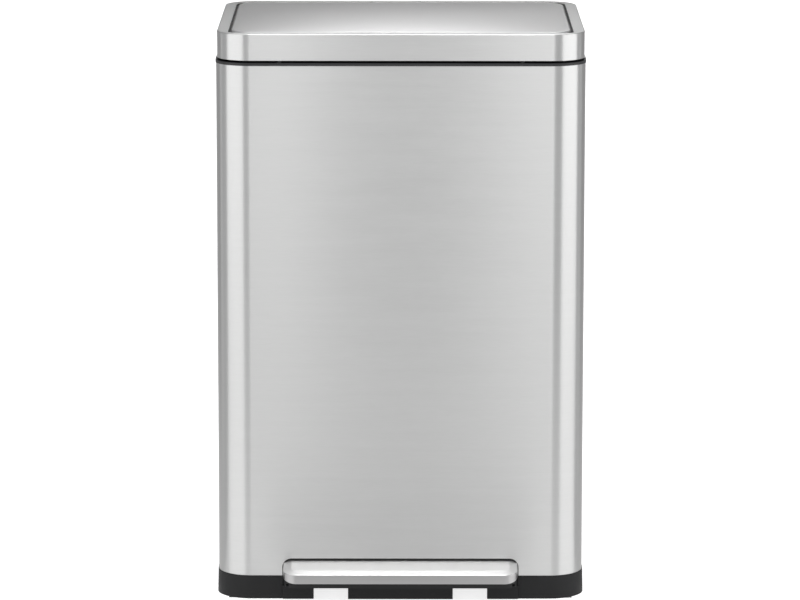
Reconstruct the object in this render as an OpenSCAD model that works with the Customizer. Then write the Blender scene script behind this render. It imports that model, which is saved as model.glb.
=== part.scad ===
/* [Body] */
// Outer width of the steel body
body_w = 404; // [340:1:480]
// Outer depth of the steel body
body_d = 316; // [270:1:370]
// Height of the top edge of the steel body above the floor
body_top = 594.5; // [500:0.5:700]
// Corner radius of the steel body
corner_r = 38; // [32:1:50]
// Thickness of the steel sheet
sheet_t = 1; // [0.8:0.1:1.4]

/* [Base] */
// Visible height of the black base skirt
skirt_h = 26.5; // [24:0.5:34]
// Amount that the skirt stands proud of the steel body
skirt_proud = 0.8; // [0:0.1:2]
// Wall thickness of the base moulding
base_wall = 3; // [2:0.5:4]
// Height of the underside of the deck above the levers
deck_z = 58; // [58:1:66]
// Thickness of the deck
deck_t = 3; // [2:0.5:5]
// Gap between the floor and the skirt
floor_gap = 0.6; // [0.4:0.1:3]
// Diameter of the rubber feet
foot_d = 22; // [16:1:28]

/* [Pedal] */
// Width of the pedal
pedal_w = 258.6; // [210:0.2:280]
// Distance that the pedal stands out in front of the body
pedal_reach = 36; // [32:1:46]
// Height of the pedal opening's top edge above the floor
opening_top = 45.8; // [44:0.1:52]
// Radius of the top corners of the pedal opening
opening_r = 10; // [6:1:14]
// Free gap at each end of the pedal
pedal_gap = 0.6; // [0.6:0.1:3]
// Height of the pedal's front wall
pedal_wall_h = 11; // [9:0.5:13]
// Radius of the pedal's front corners in plan
pedal_corner_r = 15; // [10:1:18]
// Distance from the centre line to each lever arm
arm_x = 77; // [65:1:90]
// Height of the lever arms' bars
arm_h = 12; // [10:0.5:14]
// Thickness of the lever arms' bars
arm_t = 5; // [4:0.5:8]
// Width of each slot that a lever arm passes through
arm_slot_w = 38; // [24:1:44]
// Distance from the body's front face to the lever pivot
pivot_in = 100; // [85:1:125]
// Height of the lever pivot
pivot_z = 26; // [25:0.5:30]
// Diameter of the pivot rod and the rear crossbar
lever_rod_d = 8; // [6:0.5:9]

/* [Lid] */
// Height of the lid's steel band
lid_h = 29.2; // [24:0.1:34]
// Amount that the lid is set back from the steel body on every side
lid_setback = 1.3; // [0.5:0.1:1.5]
// Width of the flange on top of the lid frame
flange_w = 12; // [10:0.5:16]
// Width of the black groove round the inset panel
groove_w = 2.5; // [1.5:0.1:4]
// Height of the panel's crown above its edges
crown_h = 5; // [3:0.5:10]
// Radius of the rounded top edge of the lid frame
lid_edge_r = 1.6; // [1.6:0.1:3.5]
// Open angle of the lid
lid_open = 78; // [70:1:85]

/* [Rim] */
// Visible thickness of the black top frame
rim_t = 3; // [2.5:0.1:4]
// Shadow gap between the top frame and the lid
shadow_gap = 2.5; // [2:0.1:4]
// Amount that the top frame stands proud of the steel body
rim_proud = 0.5; // [0:0.1:1.5]

/* [Bucket] */
// Wall thickness of the inner bucket
bucket_wall = 2.2; // [1.6:0.1:3]
// Height of the bucket's floor above the deck
bucket_lift = 4; // [2:0.5:10]
// Width of the rear space that the push rod runs in
chase_w = 34; // [32:1:44]

/* [Linkage] */
// Distance of the lid's hinge axis behind the steel body
hinge_out = 6; // [6:0.5:8]
// Outer diameter of the hinge knuckles
knuckle_d = 12; // [10:0.5:13]
// Diameter of the hinge pin
hinge_pin_d = 5; // [4:0.5:6]
// Width of the whole hinge
hinge_w = 140; // [110:1:170]
// Distance from the hinge axis to the crank pin
crank_r = 17.5; // [16:0.1:19]
// Diameter of the crank pin
crank_pin_d = 4; // [3:0.5:5]
// Diameter of the push rod
push_rod_d = 6; // [5:0.5:7]
// Diameter of the lid damper's cylinder
damper_d = 14; // [12:0.5:15]
// Length of the lid damper's cylinder
damper_l = 70; // [60:1:90]

/* [Fits] */
// Radial gap between a pin and the bore that it turns in
pin_fit = 0.05; // [0.03:0.01:0.1]
// Radial gap between a rod and the guide that it slides in
slide_fit = 0.1; // [0.08:0.01:0.2]
// Gap between mouldings and the sheet that they sit in
seat_gap = 0.3; // [0.2:0.05:0.5]

/* [Hidden] */
$fn = 48;
eps = 0.01;

// Plan places. The origin lies under the middle of the whole outline.
hinge_reach = hinge_out + knuckle_d / 2;
front_y = pedal_reach - (pedal_reach + body_d + hinge_reach) / 2;
rear_y = front_y + body_d;
mid_y = front_y + body_d / 2;
inner_rear_y = rear_y - sheet_t;

// Heights
skirt_z = skirt_h;
rim_top = body_top + rim_t;
lid_z = rim_top + shadow_gap;
lid_top = lid_z + lid_h;
deck_top = deck_z + deck_t;
bucket_z = deck_top + bucket_lift;

// Top frame and bucket
frame_in = 16;
frame_rebate = 6;
rebate_z = body_top;
frame_drop = 3.5;
spigot_h = 16;
spigot_t = 2.5;
mouth_w = body_w - 2 * frame_in;
mouth_y0 = front_y + frame_in;
mouth_d = rear_y - chase_w - mouth_y0;
mouth_r = corner_r - frame_in;
mouth_mid_y = mouth_y0 + mouth_d / 2;
bucket_gap = 2;
bucket_taper = 8;
flange_t = 2;

// Pedal and levers
pedal_slope = 0.145;
bevel_slope = 0.38;
bevel_run = 9;
end_slope = 0.45;
end_run = 9;
tread_in = 6;
edging_side = 0.8;
edging_top = 1.2;
open_w = pedal_w + 2 * pedal_gap + 2 * edging_side;
tread_gap = 1.6;
tread_z = opening_top - edging_top - tread_gap;
lip_h = 4;
carrier_back = 8;
block_proud = 4;
skirt_flare = 0.6;
spigot_in = sheet_t + seat_gap;
block_top = 16;
block_margin = 1;
spigot_side_clear = 3;
spigot_top_clear = 6;
spigot_below = 8;
surround_d = 12;
surround_lip = 2.5;
surround_lip_t = 1.5;
pivot_y = front_y + pivot_in;
rod_y = rear_y + hinge_out - crank_r * (1 + cos(lid_open / 2)) / 2;
lift = 2 * crank_r * sin(lid_open / 2);
bar_y = rod_y - 3;
lug_t = 5;
lug_half = 10;
lug_below = 9;
rib_t = 4;
rib_l = 180;
rib_z = 3;
rib_back = 14;
foot_pad_h = 3;
foot_stem_h = 7;
foot_socket_z = 2;
bush_wall = 1;
bush_gap = 0.2;

// Hinge and crank
axis_y = rear_y + hinge_out;
axis_z = rim_top;
crank_a = lid_open / 2;
pin_y = axis_y - crank_r * cos(crank_a);
pin_z = axis_z - crank_r * sin(crank_a);
ear_w = 18;
side_gap = 0.3;
knuckle_w = 21;
crank_gap = 4.4;
crank_t = 4;
crank_pin_l = 2 * (crank_gap + crank_t);
leaf_t = 2;
leaf_h = 22;
plate_t = 3;
plate_bottom = body_top - 38;
plate_top = body_top - 10;
backplate_t = 2;
backplate_h = 18;
screw_d = 4;
screw_head_d = 8;
screw_head_h = 2.2;
screw_x = [-56, -24, 24, 56];

// Rod, guides and damper
head_h = 16;
head_w = 2 * crank_gap - 0.8;
head_d = 13;
foot_h = 5;
foot_w = 16;
seat_lift = 0.3;
bar_top = pivot_z + lever_rod_d / 2;
guide_w = 22;
guide_d = 15;
guide_h = 14;
guide_z = [body_top - 80, 150];
guide_rivet_x = 8;
rivet_d = 4;
rivet_head_d = 8;
rivet_head_h = 1.2;
damper_x = 30;
damper_z = body_top - 235;
damper_wall = 1.5;
damper_rod_d = 4;
yoke_h = 8;
yoke_rise = 20;
clip_h = 20;
clip_rise = 25;
clip_wall = 3;

steel = "silver";
zinc = "lightsteelblue";
plastic = "dimgray";
rubber = "black";

module rounded_square(w, d, r) {
    square([w - 2 * r, d], center = true);
    square([w, d - 2 * r], center = true);
    for (x = [-1, 1], y = [-1, 1])
        translate([x * (w / 2 - r), y * (d / 2 - r)]) circle(r);
}

// A prism on the outline of the body, moved in by inset on every side
module body_prism(inset, z0, z1) {
    translate([0, mid_y, z0])
        linear_extrude(z1 - z0)
            rounded_square(body_w - 2 * inset, body_d - 2 * inset, corner_r - inset);
}

module body_ring(outside, inside, z0, z1) {
    difference() {
        body_prism(outside, z0, z1);
        body_prism(inside, z0 - 1, z1 + 1);
    }
}

// A prism on the outline of the bucket's mouth
module mouth_prism(inset, z0, z1) {
    translate([0, mouth_mid_y, z0])
        linear_extrude(z1 - z0)
            rounded_square(mouth_w - 2 * inset, mouth_d - 2 * inset, mouth_r - inset);
}

// Sweeps a profile round the outline that lies inset from the body's.
// In the profile x runs outward from that outline, and y upward.
module outline_sweep(inset) {
    w = body_w - 2 * inset;
    d = body_d - 2 * inset;
    r = corner_r - inset;
    translate([0, mid_y, 0]) {
        for (a = [0, 1, 2, 3])
            translate([(a == 0 || a == 3 ? 1 : -1) * (w / 2 - r), (a < 2 ? 1 : -1) * (d / 2 - r), 0])
                rotate([0, 0, 90 * a])
                    rotate_extrude(angle = 90) translate([r, 0]) children();
        for (s = [-1, 1]) {
            translate([0, s * (d / 2), 0])
                rotate([90, 0, s * 90]) linear_extrude(w - 2 * r, center = true) children();
            translate([s * w / 2, 0, 0])
                rotate([90, 0, s > 0 ? 0 : 180]) linear_extrude(d - 2 * r, center = true) children();
        }
    }
}

module along_x(x0, length, d) {
    translate([x0, 0, 0]) rotate([0, 90, 0]) cylinder(h = length, d = d);
}

module along_y(y0, length, d) {
    translate([0, y0, 0]) rotate([-90, 0, 0]) cylinder(h = length, d = d);
}

module pan_screw() {
    cylinder(h = screw_head_h, d = screw_head_d);
}

// ---- Base ----

// The outline of the pedal opening in the front, less a margin at its sides and top
module opening_shape(side, top, bottom, r) {
    w = open_w - 2 * side;
    h = opening_top - top;
    translate([-w / 2, bottom]) square([w, h - r - bottom]);
    translate([-w / 2 + r, h - r - 1]) square([w - 2 * r, r + 1]);
    for (x = [-1, 1]) translate([x * (w / 2 - r), h - r]) circle(r);
}

module opening_cut(y0, y1, side, top, bottom, r) {
    translate([0, y1, 0]) rotate([90, 0, 0])
        linear_extrude(y1 - y0) opening_shape(side, top, bottom, r);
}

// The visible skirt leans out a little towards the floor
module skirt_profile() {
    polygon([
        [-base_wall, floor_gap], [skirt_proud + skirt_flare, floor_gap], [skirt_proud, skirt_z - 1],
        [skirt_proud - skirt_flare, skirt_z], [-base_wall, skirt_z]
    ]);
}

module lug(x) {
    translate([x, 0, 0])
        translate([0, pivot_y - lug_half, pivot_z - lug_below])
            cube([lug_t, 2 * lug_half, deck_z - pivot_z + lug_below]);
}

module foot_boss(x, y) {
    translate([x, y, foot_pad_h]) cylinder(h = deck_z - foot_pad_h, d = foot_d - 4);
}

// A rib under the deck that ties the middle of the front wall to it
module deck_rib(x) {
    translate([x - rib_t / 2, front_y + block_margin, rib_z])
        cube([rib_t, rib_l, block_top - rib_z]);
    translate([x - rib_t / 2, front_y + rib_back, rib_z])
        cube([rib_t, rib_l + block_margin - rib_back, deck_z - rib_z + 0.5]);
}

front_cut_y = front_y + spigot_in + base_wall + 1;
side_block_w = open_w / 2 - arm_x - arm_slot_w / 2;
side_block_x = open_w / 2 - side_block_w / 2;
foot_inset = corner_r - 6;
foot_places = [
    for (x = [-1, 1], y = [-1, 1])
        [x * (body_w / 2 - foot_inset), mid_y + y * (body_d / 2 - foot_inset)]
];

module base() {
    color(plastic) difference() {
        union() {
            outline_sweep(0) skirt_profile();
            body_ring(spigot_in, spigot_in + base_wall, skirt_z - spigot_below, deck_z);
            for (s = [-1, 1])
                translate([s * side_block_x - side_block_w / 2, front_y - block_proud, floor_gap])
                    cube([side_block_w, block_proud + block_margin, block_top - floor_gap]);
        }
        opening_cut(front_y - block_proud - 1, front_cut_y, 0, 0, block_top, opening_r);
        opening_cut(
            front_y, front_cut_y, -spigot_side_clear, -spigot_top_clear, skirt_z, opening_r
        );
        translate([-arm_x - arm_slot_w / 2, front_y - block_proud - 1, -1])
            cube([2 * arm_x + arm_slot_w, front_cut_y - front_y + block_proud + 1, block_top + 2]);
        translate([-foot_w / 2 - 2, rear_y - spigot_in - base_wall - 1, skirt_z + 1])
            cube([foot_w + 4, base_wall + 2, deck_z - skirt_z + 1]);
    }
}

// The deck carries the lever pivots, the feet and the middle of the front wall
module deck() {
    mid_w = 2 * arm_x - arm_slot_w;
    color(plastic) difference() {
        union() {
            body_prism(spigot_in, deck_z, deck_top);
            for (s = [-1, 1], side = [0, 1])
                lug(s * arm_x + (side == 0 ? -arm_t / 2 - bush_gap - lug_t : arm_t / 2 + bush_gap));
            for (p = foot_places) foot_boss(p[0], p[1]);
            for (s = [-1, 1]) deck_rib(s * (arm_x - arm_slot_w / 2 - rib_t));
            translate([-mid_w / 2, front_y - block_proud, floor_gap])
                cube([mid_w, block_proud + base_wall, block_top - floor_gap]);
        }
        translate([0, pivot_y, pivot_z]) along_x(-arm_x - 20, 2 * arm_x + 40, lever_rod_d);
        for (p = foot_places)
            translate([p[0], p[1], foot_socket_z])
                cylinder(h = foot_pad_h + foot_stem_h - foot_socket_z, d = foot_d / 2);
        translate([0, rod_y, deck_z - 1]) cylinder(h = deck_t + 2, d = push_rod_d + 4);
    }
}

module base_feet() {
    color(rubber) for (p = foot_places) translate([p[0], p[1], 0]) {
        cylinder(h = foot_pad_h, d = foot_d);
        translate([0, 0, foot_pad_h - eps]) cylinder(h = foot_stem_h, d = foot_d / 2);
    }
}

module pedal_surround() {
    color(plastic) difference() {
        union() {
            opening_cut(front_y, front_y + surround_d, 0, 0, skirt_z, opening_r);
            opening_cut(
                front_y + sheet_t, front_y + sheet_t + surround_lip_t, -surround_lip,
                -surround_lip, skirt_z, opening_r
            );
        }
        opening_cut(
            front_y - 1, front_y + surround_d + 1, edging_side, edging_top, skirt_z - 1,
            opening_r - 3
        );
    }
}

// ---- Body ----

module body_shell() {
    color(steel) difference() {
        body_ring(0, sheet_t, skirt_z, body_top);
        opening_cut(front_y - 1, front_y + sheet_t + 1, 0, 0, skirt_z - 1, opening_r);
        translate([-crank_gap - crank_t - 2, rear_y - 2, plate_top - 2])
            cube([2 * (crank_gap + crank_t + 2), 4, body_top - plate_top + 3]);
        translate([-0.3, rear_y - 0.4, skirt_z - 1]) cube([0.6, 1, plate_bottom - skirt_z - 5]);
        for (x = screw_x) translate([x, 0, plate_bottom + 9]) along_y(rear_y - 2, 4, screw_d);
        for (z = guide_z, s = [-1, 1])
            translate([s * guide_rivet_x, 0, z]) along_y(rear_y - 2, 4, rivet_d);
        for (z = [4, clip_h - 4])
            translate([damper_x, 0, damper_z + clip_rise + z]) along_y(rear_y - 2, 4, rivet_d);
    }
}

module top_frame() {
    cut_w = hinge_w + 4;
    color(plastic) difference() {
        union() {
            body_prism(-rim_proud, body_top, rim_top);
            body_ring(spigot_in, spigot_in + spigot_t, body_top - spigot_h, body_top + 0.5);
            mouth_prism(-frame_rebate - 1.8, rebate_z - frame_drop, body_top + 0.5);
        }
        mouth_prism(0, body_top - spigot_h, rim_top + 1);
        mouth_prism(-frame_rebate, rebate_z, rim_top + 1);
        translate([-cut_w / 2, rear_y - 5, body_top - spigot_h - 1]) cube([cut_w, 10, spigot_h + 1]);
        translate([-cut_w / 2, rear_y - 0.3, body_top - 1]) cube([cut_w, 10, rim_t + 2]);
        translate([-crank_gap - crank_t - 2, rear_y - 22, body_top - 8])
            cube([2 * (crank_gap + crank_t + 2), 30, rim_t + 9]);
        for (p = bumper_places) translate([p[0], p[1], body_top + 1]) cylinder(h = rim_t, d = 4);
    }
}

bumper_inset = 6.5;
bumper_places = [
    for (x = [-1, 1]) [x * (body_w / 2 - 70), front_y + bumper_inset - 3],
    for (x = [-1, 1]) [x * (body_w / 2 - bumper_inset + 3), rear_y - 90]
];

module lid_bumpers() {
    color(rubber) for (p = bumper_places) translate([p[0], p[1], 0]) {
        translate([0, 0, rim_top]) cylinder(h = shadow_gap - 0.2, d = 5);
        translate([0, 0, body_top + 1]) cylinder(h = rim_t - 1 + eps, d = 4);
    }
}

module bucket_prism(inset, z0, z1) {
    w = mouth_w - 2 * (bucket_gap + inset);
    d = mouth_d - 2 * (bucket_gap + inset);
    r = mouth_r - bucket_gap - inset;
    k = bucket_taper / (rebate_z - bucket_z) * (z1 - z0);
    translate([0, mouth_mid_y, z1]) mirror([0, 0, 1])
        linear_extrude(z1 - z0, scale = [1 - 2 * k / w, 1 - 2 * k / d], slices = 1)
            rounded_square(w, d, r, $fn = 24);
}

module inner_bucket() {
    grip_w = 90;
    grip_h = 22;
    grip_reach = 6;
    grip_z = rebate_z - 12 - grip_h;
    color("gray") difference() {
        union() {
            bucket_prism(0, bucket_z, rebate_z + 1);
            mouth_prism(seat_gap * 2 - frame_rebate, rebate_z, rebate_z + flange_t);
        }
        bucket_prism(bucket_wall, bucket_z + bucket_wall, rebate_z + flange_t + 1);
        for (s = [-1, 1])
            translate([s * (mouth_w / 2 - bucket_gap) - grip_reach, mouth_mid_y - grip_w / 2, grip_z])
                cube([2 * grip_reach, grip_w, grip_h]);
    }
}

// ---- Hinge ----

module hinge_bracket() {
    color(plastic) difference() {
        union() {
            translate([-hinge_w / 2, rear_y, plate_bottom])
                cube([hinge_w, plate_t, plate_top - plate_bottom]);
            for (s = [-1, 1]) translate([s * (hinge_w - ear_w) / 2 - ear_w / 2, 0, 0]) {
                translate([0, axis_y, axis_z]) along_x(0, ear_w, knuckle_d);
                translate([0, rear_y, plate_top - 4])
                    cube([ear_w, hinge_out + knuckle_d / 2, body_top - plate_top + 3]);
                translate([0, axis_y - knuckle_d / 2 + 1, body_top - 2])
                    cube([ear_w, knuckle_d - 1, axis_z - body_top + 2]);
            }
        }
        translate([0, axis_y, axis_z]) along_x(-hinge_w, 2 * hinge_w, hinge_pin_d);
        for (x = screw_x) translate([x, 0, plate_bottom + 9]) along_y(rear_y - 1, plate_t + 2, screw_d);
    }
}

module hinge_backplate() {
    color(zinc) difference() {
        translate([-hinge_w / 2 + 4, inner_rear_y - backplate_t, plate_bottom])
            cube([hinge_w - 8, backplate_t, backplate_h]);
        for (x = screw_x) translate([x, 0, plate_bottom + 9]) along_y(rear_y - 10, 10, screw_d);
    }
}

module bracket_screws() {
    color(zinc) for (x = screw_x) translate([x, 0, plate_bottom + 9]) {
        along_y(inner_rear_y - backplate_t - 1.5, plate_t + sheet_t + backplate_t + 1.5, screw_d);
        translate([0, rear_y + plate_t, 0]) rotate([-90, 0, 0]) pan_screw();
    }
}

pin_over = 3;
clip_t = 1;

module hinge_pin() {
    color(zinc) translate([0, axis_y, axis_z])
        along_x(-hinge_w / 2 - pin_over, hinge_w + 2 * pin_over, hinge_pin_d);
}

module end_clip(d) {
    difference() {
        cylinder(h = clip_t, d = d + 5);
        translate([0, 0, -1]) cylinder(h = clip_t + 2, d = d);
    }
}

module hinge_pin_clips() {
    color(zinc) for (s = [-1, 1])
        translate([s > 0 ? hinge_w / 2 : -hinge_w / 2 - clip_t, axis_y, axis_z])
            rotate([0, 90, 0]) end_clip(hinge_pin_d);
}

// The lid's hinge: a leaf outside the rear of the band, two knuckles and a forked crank
module lid_hinge() {
    knuckle_x = hinge_w / 2 - ear_w - side_gap - knuckle_w;
    leaf_w = 2 * (knuckle_x + knuckle_w);
    leaf_y = rear_y - lid_setback;
    color(zinc) difference() {
        union() {
            translate([-leaf_w / 2, leaf_y, lid_z + 0.5]) cube([leaf_w, leaf_t, leaf_h]);
            for (s = [-1, 1]) translate([s > 0 ? knuckle_x : -knuckle_x - knuckle_w, 0, 0]) {
                translate([0, axis_y, axis_z]) along_x(0, knuckle_w, knuckle_d);
                translate([0, leaf_y, lid_z + 0.5])
                    cube([knuckle_w, hinge_out + lid_setback, knuckle_d / 2 - shadow_gap - 0.5]);
            }
            for (s = [-1, 1]) translate([s > 0 ? crank_gap : -crank_gap - crank_t, 0, 0]) {
                translate([0, axis_y, axis_z]) along_x(0, crank_t, knuckle_d);
                translate([0, leaf_y, lid_z + 0.5])
                    cube([crank_t, hinge_out + lid_setback, knuckle_d / 2 - shadow_gap - 0.5]);
                translate([0, axis_y, axis_z]) rotate([crank_a, 0, 0])
                    translate([0, -crank_r, -4]) cube([crank_t, crank_r, 8]);
                translate([0, pin_y, pin_z]) along_x(0, crank_t, 8);
            }
        }
        translate([0, axis_y, axis_z]) along_x(-hinge_w, 2 * hinge_w, hinge_pin_d + 2 * pin_fit);
        translate([0, pin_y, pin_z]) along_x(-20, 40, crank_pin_d);
        for (x = leaf_screw_x) translate([x, 0, lid_z + 14]) along_y(rear_y - 4, 10, screw_d);
    }
}

leaf_screw_x = [-42, -20, 20, 42];
leaf_screw_l = 6;

module leaf_screws() {
    color(zinc) for (x = leaf_screw_x) translate([x, 0, lid_z + 14]) {
        along_y(rear_y - lid_setback - leaf_screw_l, leaf_screw_l + leaf_t, screw_d);
        translate([0, rear_y - lid_setback + leaf_t, 0]) rotate([-90, 0, 0]) pan_screw();
    }
}

module crank_pin() {
    color(zinc) translate([0, pin_y, pin_z]) along_x(-crank_pin_l / 2, crank_pin_l, crank_pin_d);
}

// ---- Lid ----

module fold_shape(w, h, r) {
    square([w, h - r]);
    square([w - r, h]);
    translate([w - r, h - r]) circle(r);
}

module lid_profile() {
    translate([-flange_w, lid_z]) difference() {
        fold_shape(flange_w, lid_h, lid_edge_r);
        translate([-1, -1]) fold_shape(flange_w + 1 - sheet_t, lid_h + 1 - sheet_t, lid_edge_r - sheet_t);
    }
}

module lid_frame() {
    color(steel) difference() {
        outline_sweep(lid_setback) lid_profile();
        for (x = leaf_screw_x) translate([x, 0, lid_z + 14]) along_y(rear_y - 4, 10, screw_d);
    }
}

panel_inset = lid_setback + flange_w + groove_w;
panel_edge_h = 6;

// The radius of an arch that rises by crown_h over half its span
function arch_r(half) = (half * half + crown_h * crown_h) / (2 * crown_h);

// A prism under two crossed arches, so its top is crowned and its edges stay level
module crowned_prism(inset, drop, z0) {
    r_y = arch_r(body_d / 2 - panel_inset);
    r_x = arch_r(body_w / 2 - panel_inset);
    intersection() {
        body_prism(panel_inset + inset, z0, lid_top + crown_h + 2);
        translate([0, mid_y, lid_top + crown_h - r_y])
            rotate([0, 90, 0]) cylinder(h = body_w + 2, r = r_y - drop, center = true, $fn = 360);
        translate([0, mid_y, lid_top + crown_h - r_x])
            rotate([90, 0, 0]) cylinder(h = body_d + 2, r = r_x - drop, center = true, $fn = 360);
    }
}

module lid_panel() {
    color(steel) difference() {
        crowned_prism(0, 0, lid_top - panel_edge_h);
        crowned_prism(sheet_t, sheet_t, lid_top - panel_edge_h - 1);
    }
}

module lid_liner() {
    liner_out = lid_setback + sheet_t + seat_gap;
    liner_t = 2.5;
    ring_out = lid_setback + flange_w - 2;
    ring_top = lid_top - sheet_t;
    ledge_z = lid_top - panel_edge_h;
    color(plastic) difference() {
        union() {
            body_ring(liner_out, liner_out + liner_t, lid_z, lid_top - lid_edge_r - 1);
            body_prism(liner_out + 0.5, lid_z + 3, lid_z + 3 + liner_t);
            body_ring(ring_out, panel_inset + 4, lid_z + 4, ledge_z);
            body_ring(ring_out, panel_inset - 0.2, ledge_z - 1, ring_top);
            for (y = [-1, 1]) translate([-body_w / 2 + 20, mid_y + y * 45 - 1.2, lid_z + 4])
                cube([body_w - 40, 2.4, ledge_z - lid_z - 4]);
        }
        for (x = leaf_screw_x)
            translate([x, 0, lid_z + 14]) along_y(rear_y - lid_setback - leaf_screw_l, 10, screw_d);
    }
}

// ---- Push rod and damper ----

module push_rod() {
    color(zinc) translate([0, rod_y, bar_top + seat_lift + 2])
        cylinder(h = pin_z - head_h / 2 + 3 - bar_top - seat_lift - 2, d = push_rod_d);
}

module rod_head() {
    slot_h = crank_pin_d + 1.2;
    slot_l = crank_pin_d + crank_r * (1 - cos(crank_a)) + 1;
    color(plastic) difference() {
        translate([-head_w / 2, rod_y - head_d / 2, pin_z - head_h / 2 - 2])
            cube([head_w, head_d, head_h]);
        translate([-head_w, rod_y - slot_l / 2, pin_z - slot_h / 2]) cube([2 * head_w, slot_l, slot_h]);
        translate([0, rod_y, pin_z - head_h / 2 - 3]) cylinder(h = 6, d = push_rod_d);
    }
}

module rod_foot() {
    color(plastic) difference() {
        translate([0, rod_y, bar_top + seat_lift]) cylinder(h = foot_h, d = foot_w);
        translate([0, rod_y, bar_top + seat_lift + 2]) cylinder(h = foot_h, d = push_rod_d);
    }
}

module rod_guide(z) {
    color(plastic) difference() {
        translate([-guide_w / 2, inner_rear_y - guide_d, z - guide_h / 2])
            cube([guide_w, guide_d, guide_h]);
        translate([0, rod_y, z - guide_h]) cylinder(h = 2 * guide_h, d = push_rod_d + 2 * slide_fit);
        for (s = [-1, 1]) translate([s * guide_rivet_x, 0, z]) along_y(inner_rear_y - 5, 6, rivet_d);
    }
}

module upper_rod_guide() rod_guide(guide_z[0]);

module lower_rod_guide() rod_guide(guide_z[1]);

module rivet(length) {
    along_y(rear_y - length, length, rivet_d);
    along_y(rear_y, rivet_head_h, rivet_head_d);
}

module guide_rivets() {
    color(zinc) {
        for (z = guide_z, s = [-1, 1]) translate([s * guide_rivet_x, 0, z]) rivet(sheet_t + 5);
        for (z = [4, clip_h - 4]) translate([damper_x, 0, damper_z + clip_rise + z]) rivet(sheet_t + 1.5);
    }
}

module damper_clip() {
    clip_d = 2 * (inner_rear_y - rod_y);
    color(plastic) difference() {
        translate([damper_x - damper_d / 2 - clip_wall, inner_rear_y - clip_d, damper_z + clip_rise])
            cube([damper_d + 2 * clip_wall, clip_d, clip_h]);
        translate([damper_x, rod_y, damper_z]) cylinder(h = damper_l, d = damper_d);
        for (z = [4, clip_h - 4])
            translate([damper_x, 0, damper_z + clip_rise + z]) along_y(inner_rear_y - 1.5, 3, rivet_d);
    }
}

module damper_cylinder() {
    color(plastic) translate([damper_x, rod_y, damper_z]) difference() {
        cylinder(h = damper_l, d = damper_d);
        translate([0, 0, damper_wall])
            cylinder(h = damper_l - 2 * damper_wall, d = damper_d - 2 * damper_wall);
        cylinder(h = damper_l + 1, d = damper_rod_d + 2 * slide_fit);
    }
}

piston_z = damper_z + (damper_l - lift) / 2;
yoke_z = damper_z + damper_l + yoke_rise;

module damper_piston() {
    color(zinc) translate([damper_x, rod_y, 0]) {
        translate([0, 0, piston_z]) cylinder(h = yoke_z + yoke_h - piston_z, d = damper_rod_d);
        translate([0, 0, piston_z]) cylinder(h = 4, d = damper_d - 2 * damper_wall - 2 * slide_fit);
    }
}

module damper_yoke() {
    color(plastic) difference() {
        translate([-7, rod_y - 6, yoke_z]) cube([damper_x + 13, 12, yoke_h]);
        translate([0, rod_y, yoke_z - 1]) cylinder(h = yoke_h + 2, d = push_rod_d);
        translate([damper_x, rod_y, yoke_z - 1]) cylinder(h = yoke_h + 2, d = damper_rod_d);
    }
}

// ---- Pedal and levers ----

// Side outline of the pedal, seen from +X. It reaches back into the opening.
function tread_line(y) = tread_z - pedal_slope * (front_y - y);
fold_y = front_y - pedal_reach + bevel_run;
nose_y = front_y - pedal_reach;
nose_z = tread_line(fold_y) - bevel_slope * bevel_run;

module pedal_side(drop, grow, height) {
    polygon([
        [nose_y - 5, nose_z - drop - bevel_slope * 5], [fold_y, tread_line(fold_y) - drop],
        [front_y + tread_in + grow, tread_line(front_y + tread_in + grow) - drop],
        [front_y + tread_in + grow, tread_line(front_y + tread_in + grow) - height],
        [fold_y, tread_line(fold_y) - height], [nose_y - 5, nose_z - height - bevel_slope * 5]
    ]);
}

module pedal_plan(inset, back_y) {
    w = pedal_w - 2 * inset;
    r = pedal_corner_r - inset;
    y0 = nose_y + inset;
    translate([-w / 2, y0 + r]) square([w, back_y - y0 - r]);
    translate([-w / 2 + r, y0]) square([w - 2 * r, r + 1]);
    for (x = [-1, 1]) translate([x * (w / 2 - r), y0 + r]) circle(r);
}

// The pedal's top falls away at its two ends
module pedal_ends(drop) {
    flat = pedal_w / 2 - end_run;
    low = flat + end_run + 2;
    translate([0, front_y, tread_z - drop]) rotate([atan(pedal_slope) + 90, 0, 0])
        linear_extrude(200, center = true) polygon([
            [-low, -60], [low, -60], [low, -end_slope * (low - flat)], [flat - 5 / end_slope, 5],
            [5 / end_slope - flat, 5], [-low, -end_slope * (low - flat)]
        ]);
}

module pedal_block(inset, drop, grow, height, back_y) {
    intersection() {
        rotate([90, 0, 90]) linear_extrude(pedal_w + 2, center = true) pedal_side(drop, grow, height);
        pedal_ends(drop);
        linear_extrude(80) pedal_plan(inset, back_y);
    }
}

module pedal_tread() {
    back = front_y + tread_in;
    color(steel) difference() {
        pedal_block(0, 0, 0, pedal_wall_h, back);
        pedal_block(sheet_t, sheet_t, 1, pedal_wall_h + 1, back + 2);
    }
}

carrier_z = nose_z - pedal_wall_h - lip_h;

module pedal_carrier() {
    rib = 2.4;
    pocket_n = 6;
    pocket_w = (pedal_w - 2 * sheet_t - rib) / pocket_n;
    color(plastic) difference() {
        intersection() {
            pedal_block(sheet_t, sheet_t, 0, 40, front_y - carrier_back);
            translate([0, 0, carrier_z])
                linear_extrude(40) pedal_plan(sheet_t, front_y - carrier_back);
        }
        for (i = [0:pocket_n - 1])
            translate([-pedal_w / 2 + sheet_t + rib + i * pocket_w, nose_y + sheet_t + 3, carrier_z - 1])
                cube([pocket_w - rib, pedal_reach - carrier_back - sheet_t - 3 - rib, 5]);
        for (s = [-1, 1])
            translate([s * arm_x - arm_t / 2, nose_y + 8, carrier_z - 2])
                cube([arm_t, pedal_reach, pivot_z + arm_h / 2 - carrier_z + 2]);
    }
}

bush_d = lever_rod_d + 2 * bush_wall;

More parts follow.
